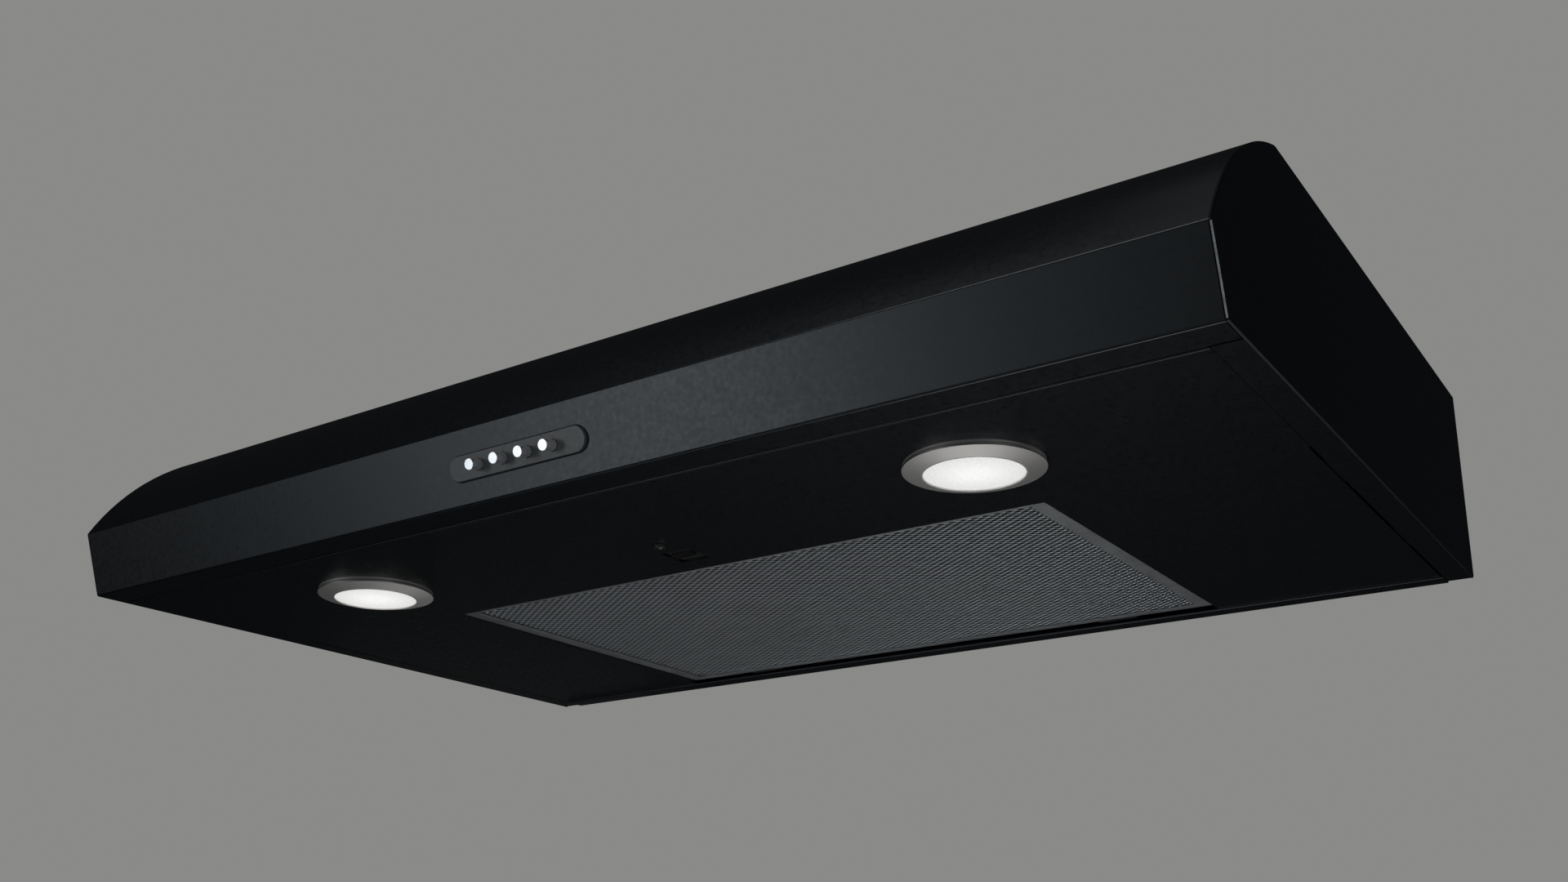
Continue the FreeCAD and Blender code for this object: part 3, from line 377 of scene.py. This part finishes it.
def paint_cad_nodes(materials):
    for row in RECORD["subparts"]:
        paint(NODES[row["node"]], materials[row["material_slot"]])
    # The inner foil layers get a near-black painted shade in place of their aluminium slot.
    paint(NODES["filter_mesh_layers"], filter_foil())


# ---- mesh helpers ---------------------------------------------------------------------
def add_piece(name, vertices, faces, body, slot_name, materials, stands_for, angle=None):
    mesh = bpy.data.meshes.new(name)
    mesh.from_pydata(vertices, [], faces)
    mesh.update()
    mesh.shade_smooth()
    if angle is not None:
        mesh.set_sharp_from_angle(angle=math.radians(angle))
    thing = bpy.data.objects.new(name, mesh)
    bpy.context.scene.collection.objects.link(thing)
    paint(thing, materials[slot_name])
    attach(thing, body)
    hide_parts(*stands_for)
    return thing


def turn_profile(profile, centre, axis, count):
    """Closed surface of a (radius, height) outline turned about axis through centre."""
    up = Vector(axis).normalized()
    side = up.orthogonal().normalized()
    other = up.cross(side)
    vertices = []
    for step in range(count):
        angle = 2 * math.pi * step / count
        spoke = side * math.cos(angle) + other * math.sin(angle)
        for radius, height in profile:
            vertices.append(centre + spoke * radius + up * height)
    rows = len(profile)
    faces = []
    for step in range(count):
        here = step * rows
        there = ((step + 1) % count) * rows
        for row in range(rows - 1):
            faces.append((here + row, there + row, there + row + 1, here + row + 1))
    faces.append(tuple(step * rows for step in range(count))[::-1])
    faces.append(tuple(step * rows + rows - 1 for step in range(count)))
    return vertices, faces


# ---- expanded mesh of the filter ------------------------------------------------------
class Lattice:
    """Vertices of an expanded sheet, shared between neighbouring diamond cells."""

    def __init__(self, middle, quarter_x, quarter_y, jitter):
        self.middle = middle
        self.quarter_x = quarter_x
        self.quarter_y = quarter_y
        self.jitter = jitter
        self.vertices = []
        self.found = {}

    def point(self, column, row, rise):
        """Index of the pair's upper or lower vertex at a quarter-cell place."""
        key = (column, row)
        if key not in self.found:
            dx = random.uniform(-self.jitter, self.jitter)
            dy = random.uniform(-self.jitter, self.jitter)
            x = self.middle.x + column * self.quarter_x + dx
            y = self.middle.y + row * self.quarter_y + dy
            height = MESH_RISE if column % 2 == 0 else MESH_RISE * BOND_RISE
            self.found[key] = len(self.vertices)
            self.vertices.append((x, y, self.middle.z - height))
            self.vertices.append((x, y, self.middle.z + height))
        return self.found[key] + (1 if rise > 0 else 0)


CELL_EDGE = [(2, 0), (1, 1), (0, 2), (-1, 1), (-2, 0), (-1, -1), (0, -2), (1, -1)]


def expanded_sheet(middle, half_x, half_y, cell_x, cell_y, hole_x, hole_y):
    """A stretched sheet with a flat lower face: eight-sided holes in staggered rows."""
    lattice = Lattice(middle, cell_x / 4, cell_y / 4, cell_x * MESH_JITTER)
    faces = []
    rim = middle.z - HOLE_DROP * MESH_RISE
    columns = int(half_x / (cell_x / 2))
    rows = int(half_y / (cell_y / 2))
    for column in range(-columns, columns + 1):
        for row in range(-rows, rows + 1):
            if (column + row) % 2:
                continue
            edge_low = [lattice.point(2 * column + i, 2 * row + j, -1) for i, j in CELL_EDGE]
            edge_high = [lattice.point(2 * column + i, 2 * row + j, 1) for i, j in CELL_EDGE]
            ring = len(lattice.vertices)
            cx = middle.x + column * cell_x / 2
            cy = middle.y + row * cell_y / 2
            for step in range(8):
                angle = math.pi / 4 * step
                x = hole_x * math.cos(angle)
                y = hole_y * math.sin(angle)
                lattice.vertices.append((cx + x, cy + y, rim + y * HOLE_TILT))
            for step in range(8):
                after = (step + 1) % 8
                faces.append((edge_low[step], ring + step, ring + after, edge_low[after]))
                faces.append((edge_high[step], edge_high[after], ring + after, ring + step))
    return lattice.vertices, faces


def add_filter_meshes(materials):
    low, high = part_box("filter_frame")
    middle = (low + high) / 2
    half_x = (high.x - low.x) / 2 - SIDE_LIP + MESH_UNDER_LIP
    half_y = (high.y - low.y) / 2 - END_LIP + MESH_UNDER_LIP
    face_low, face_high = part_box("filter_face_mesh")
    middle.z = (face_low.z + face_high.z) / 2
    vertices, faces = expanded_sheet(middle, half_x, half_y, CELL_X, CELL_Y, HOLE_X, HOLE_Y)
    add_piece("face_mesh", vertices, faces, "grease_filter", "filter_mesh", materials,
              ["filter_face_mesh"])
    back_low, back_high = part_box("filter_back_mesh")
    middle.z = (back_low.z + back_high.z) / 2
    grow = BACK_MESH_GROW
    vertices, faces = expanded_sheet(middle, half_x, half_y, CELL_X * grow, CELL_Y * grow,
                                     HOLE_X * grow, HOLE_Y * grow)
    add_piece("back_mesh", vertices, faces, "grease_filter", "filter_mesh", materials,
              ["filter_back_mesh"])


# ---- filter frame ---------------------------------------------------------------------
def channel_profile(lip, height):
    """Closed outline of the folded channel as (distance inwards, height above its lower face)."""
    bend = FRAME_BEND
    outer = []
    inner = []
    for step in range(5):
        angle = math.radians(90 * step / 4)
        outer.append((bend - bend * math.sin(angle), bend - bend * math.cos(angle)))
    for step in range(5):
        angle = math.radians(90 * step / 4)
        thin = bend - FRAME_SKIN
        inner.append((bend - thin * math.sin(angle), bend - thin * math.cos(angle)))
    lower = [(lip, LIP_CHAMFER), (lip - LIP_CHAMFER, 0.0)] + outer
    upper = [(x, height - z) for x, z in reversed(lower)]
    inside_top = [(lip, height - FRAME_SKIN)] + [(x, height - z) for x, z in inner]
    inside_low = [(x, z) for x, z in reversed(inner)] + [(lip, FRAME_SKIN)]
    return lower + upper + inside_top + inside_low


def channel(start, end, inward, lip, other_lip, height):
    """One side of the frame, from corner to corner, with mitred ends."""
    profile = channel_profile(lip, height)
    along = (end - start).normalized()
    slope = other_lip / lip
    vertices = []
    for origin, direction in ((start, 1), (end, -1)):
        for distance, rise in profile:
            mitre = distance * slope + MITRE_GAP
            point = origin + inward * distance + along * (direction * mitre)
            vertices.append(point + Vector((0, 0, rise)))
    count = len(profile)
    faces = [(i, (i + 1) % count, count + (i + 1) % count, count + i) for i in range(count)]
    return vertices, faces


def add_filter_frame(materials):
    low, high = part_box("filter_frame")
    height = high.z - low.z
    corners = [Vector((low.x, low.y, low.z)), Vector((high.x, low.y, low.z))]
    corners += [Vector((high.x, high.y, low.z)), Vector((low.x, high.y, low.z))]
    inwards = [Vector((0, 1, 0)), Vector((-1, 0, 0)), Vector((0, -1, 0)), Vector((1, 0, 0))]
    vertices = []
    faces = []
    for side in range(4):
        lips = (END_LIP, SIDE_LIP) if side % 2 == 0 else (SIDE_LIP, END_LIP)
        made, quads = channel(corners[side], corners[(side + 1) % 4], inwards[side], *lips, height)
        offset = len(vertices)
        vertices += made
        faces += [tuple(offset + i for i in quad) for quad in quads]
    add_piece("frame_channels", vertices, faces, "grease_filter", "filter_aluminium", materials,
              ["filter_frame"], 40)


# ---- lamps ----------------------------------------------------------------------------
def add_lens(name, materials):
    """A shallow pebbled dome."""
    low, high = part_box(name)
    centre = (low + high) / 2
    radius = (high.x - low.x) / 2
    rings = LENS_RINGS
    spokes = LENS_SPOKES
    vertices = [Vector((centre.x, centre.y, low.z))]
    for ring in range(1, rings + 1):
        r = radius * ring / rings
        for spoke in range(spokes):
            angle = 2 * math.pi * spoke / spokes
            x = r * math.cos(angle)
            y = r * math.sin(angle)
            pebble = math.sin(x / MM * 2.1) * math.sin(y / MM * 2.3 + x / MM * 0.4)
            dome = LENS_CROWN * (r / radius) ** 2
            fade = 1.0 if ring < rings else 0.0
            z = low.z + dome + PEBBLE_RISE * (pebble + 1) * fade
            vertices.append(Vector((centre.x + x, centre.y + y, z)))
    last = len(vertices)
    for spoke in range(spokes):
        edge = vertices[last - spokes + spoke]
        vertices.append(Vector((edge.x, edge.y, high.z)))
    faces = []
    for spoke in range(spokes):
        after = (spoke + 1) % spokes
        faces.append((0, 1 + after, 1 + spoke))
        for ring in range(rings):
            a = 1 + ring * spokes
            b = a + spokes
            faces.append((a + spoke, a + after, b + after, b + spoke))
    faces.append(tuple(last + spoke for spoke in range(spokes)))
    add_piece(name.replace("lamp_lens", "pebbled_lens"), vertices, faces, "hood_body",
              "frosted_lens", materials, [name], 60)


# ---- push buttons ---------------------------------------------------------------------
def press_axis(index):
    name = "button_" + str(index) + "_press"
    return next(Vector(joint["axis"]) for joint in frame["joints"] if joint["name"] == name)


def add_button(index, materials):
    name = "button_cap_" + str(index)
    low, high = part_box(name)
    centre = (low + high) / 2
    radius = (high.x - low.x) / 2
    outward = -press_axis(index).normalized()
    tall = high.z - low.z - 2 * radius * math.hypot(outward.x, outward.y)
    half = tall / abs(outward.z) / 2
    bevel = BUTTON_BEVEL
    profile = [(radius - BUTTON_FOOT, -half), (radius, -half + BUTTON_FOOT)]
    for step in range(7):
        angle = math.radians(90 * step / 6)
        r = radius - bevel + bevel * math.cos(angle)
        profile.append((r, half - bevel + bevel * math.sin(angle)))
    profile += [(radius * 0.90, half), (radius * 0.45, half), (0.15 * MM, half)]
    vertices, faces = turn_profile(profile, centre, outward, BUTTON_SIDES)
    add_piece("chrome_cap_" + str(index), vertices, faces, "button_" + str(index),
              "chrome_button", materials, [name], 30)


def add_plate_gasket(materials):
    """Thin dark ring that shows as a line all round the control plate: painted shade for the shadow gap at its
    edge.
    """
    low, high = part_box("control_plate")
    outward = -press_axis(1).normalized()
    upward = Vector((0, -outward.z, outward.y))
    if upward.z < 0:
        upward = -upward
    caps = [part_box("button_cap_" + str(number)) for number in (1, 4)]
    middle = sum(((a + b) / 2 for a, b in caps), Vector()) / 2
    on_face = middle - outward * BUTTON_MIDDLE
    bend = PLATE_HEIGHT / 2
    straight = (high.x - low.x) / 2 - bend
    centre = on_face + Vector(((low.x + high.x) / 2 - on_face.x, 0, 0))
    vertices = []
    steps = SHADE_RING_STEPS
    for rise, grow in SHADE_RING_OUTLINE:
        for step in range(steps):
            angle = 2 * math.pi * step / steps
            side = straight if math.cos(angle) >= 0 else -straight
            across = side + (bend + grow * MM) * math.cos(angle)
            along = (bend + grow * MM) * math.sin(angle)
            vertices.append(centre + Vector((across, 0, 0)) + upward * along + outward * rise * MM)
    faces = []
    for row in range(4):
        a = row * steps
        b = (row + 1) % 4 * steps
        for step in range(steps):
            after = (step + 1) % steps
            faces.append((a + step, a + after, b + after, b + step))
    add_piece("plate_shade_ring", vertices, faces, "hood_body", "grommet_rubber", materials, [], 30)


# ---- studio ---------------------------------------------------------------------------
def softbox(name, direction, distance, width, height, radiance, tint=(1.0, 1.0, 1.0)):
    """An area light whose face has the given radiance, seen from the hood's middle."""
    away = Vector(direction).normalized()
    data = bpy.data.lights.new(name, "AREA")
    data.shape = "RECTANGLE"
    data.size = width
    data.size_y = height
    data.energy = radiance * math.pi * width * height
    data.color = tint
    lamp = bpy.data.objects.new(name, data)
    lamp.location = Vector(STUDIO_AIM) + away * distance
    lamp.rotation_euler = (-away).to_track_quat("-Z", "Y").to_euler()
    lamp.visible_camera = False
    bpy.context.scene.collection.objects.link(lamp)


def heading(azimuth, elevation):
    """Unit direction at an azimuth from -Y towards -X and a height above the horizon."""
    a = math.radians(azimuth)
    e = math.radians(elevation)
    return (-math.sin(a) * math.cos(e), -math.cos(a) * math.cos(e), math.sin(e))


def light_studio():
    cool = (0.86, 0.94, 1.0)
    softbox("key_softbox", heading(32, 1), 6.0, 0.95, 3.8, 2.45)
    softbox("key_left", heading(40, -2), 6.0, 0.95, 3.0, 1.35, cool)
    softbox("key_right", heading(19, -2), 6.0, 1.6, 3.0, 0.28, cool)
    softbox("top_front", heading(30, 60), 5.0, 2.0, 2.0, 2.2)
    softbox("zenith", (0.0, 0.1, 0.99), 5.0, 2.6, 2.6, 0.10)
    softbox("low_middle", (-0.15, 0.45, -0.88), 1.8, 0.8, 0.8, 1.85)
    softbox("low_front", (-0.45, -0.10, -0.88), 1.8, 0.8, 0.8, 0.5)
    softbox("front_fill", (-0.10, -0.75, -0.62), 2.2, 1.4, 0.7, 0.35)
    softbox("low_right", (0.60, -0.50, -0.62), 2.2, 0.9, 0.9, 1.0, cool)
    softbox("rear_left", (-0.72, 0.69, 0.03), 5.0, 1.2, 0.8, 0.7)
    softbox("rim_strip", (0.94, -0.33, 0.05), 4.5, 0.7, 1.2, 8.0)
    softbox("front_right", (0.68, -0.68, 0.26), 4.0, 1.6, 1.2, 0.5)
    softbox("rear_right", (0.66, 0.66, -0.34), 4.0, 2.0, 1.4, 0.5)


def light_world():
    """Grey backdrop for the camera, even fill for matt surfaces and near-black reflections."""
    world = bpy.data.worlds.new("studio")
    bpy.context.scene.world = world
    world.use_nodes = True
    tree = world.node_tree
    fill = tree.nodes["Background"]
    fill.inputs["Color"].default_value = (0.50, 0.50, 0.50, 1.0)
    backdrop = tree.nodes.new("ShaderNodeBackground")
    backdrop.inputs["Color"].default_value = (0.255, 0.255, 0.25, 1.0)
    dark = tree.nodes.new("ShaderNodeBackground")
    dark.inputs["Color"].default_value = (0.009, 0.0095, 0.0105, 1.0)
    path = tree.nodes.new("ShaderNodeLightPath")
    shown = tree.nodes.new("ShaderNodeMixShader")
    mirrored = tree.nodes.new("ShaderNodeMixShader")
    tree.links.new(path.outputs["Is Camera Ray"], shown.inputs["Fac"])
    tree.links.new(fill.outputs["Background"], shown.inputs[1])
    tree.links.new(backdrop.outputs["Background"], shown.inputs[2])
    tree.links.new(path.outputs["Is Glossy Ray"], mirrored.inputs["Fac"])
    tree.links.new(shown.outputs["Shader"], mirrored.inputs[1])
    tree.links.new(dark.outputs["Background"], mirrored.inputs[2])
    tree.links.new(mirrored.outputs["Shader"], tree.nodes["World Output"].inputs["Surface"])


def add_floor():
    half = FLOOR_HALF
    height = FLOOR_HEIGHT
    mesh = bpy.data.meshes.new("floor")
    corners = [(-half, -half, height), (half, -half, height), (half, half, height)]
    corners.append((-half, half, height))
    mesh.from_pydata(corners, [], [(0, 1, 2, 3)])
    floor = bpy.data.objects.new("floor", mesh)
    bpy.context.scene.collection.objects.link(floor)
    paint(floor, mottled("floor_paint", (0.66, 0.66, 0.66), 0.01, 0.8, scale=9.0, bump=0.0)[0])
    floor.visible_glossy = False


def add_camera():
    data = bpy.data.cameras.new("camera")
    data.lens = CAMERA_LENS
    data.sensor_width = 36.0
    data.shift_y = CAMERA_SHIFT
    data.clip_end = 900.0
    camera = bpy.data.objects.new("camera", data)
    camera.location = CAMERA_PLACE
    camera.rotation_euler = (math.radians(90 + CAMERA_PITCH), 0, math.radians(CAMERA_YAW))
    bpy.context.scene.collection.objects.link(camera)
    bpy.context.scene.camera = camera


# ---- build ----------------------------------------------------------------------------
add_camera()
light_world()
light_studio()
add_floor()
bpy.context.scene.view_settings.view_transform = "Standard"
MATERIALS = make_materials()
paint_cad_nodes(MATERIALS)
add_filter_meshes(MATERIALS)
add_filter_frame(MATERIALS)
for side in ("left", "right"):
    add_lens("lamp_lens_" + side, MATERIALS)
for number in range(1, 5):
    add_button(number, MATERIALS)
add_plate_gasket(MATERIALS)
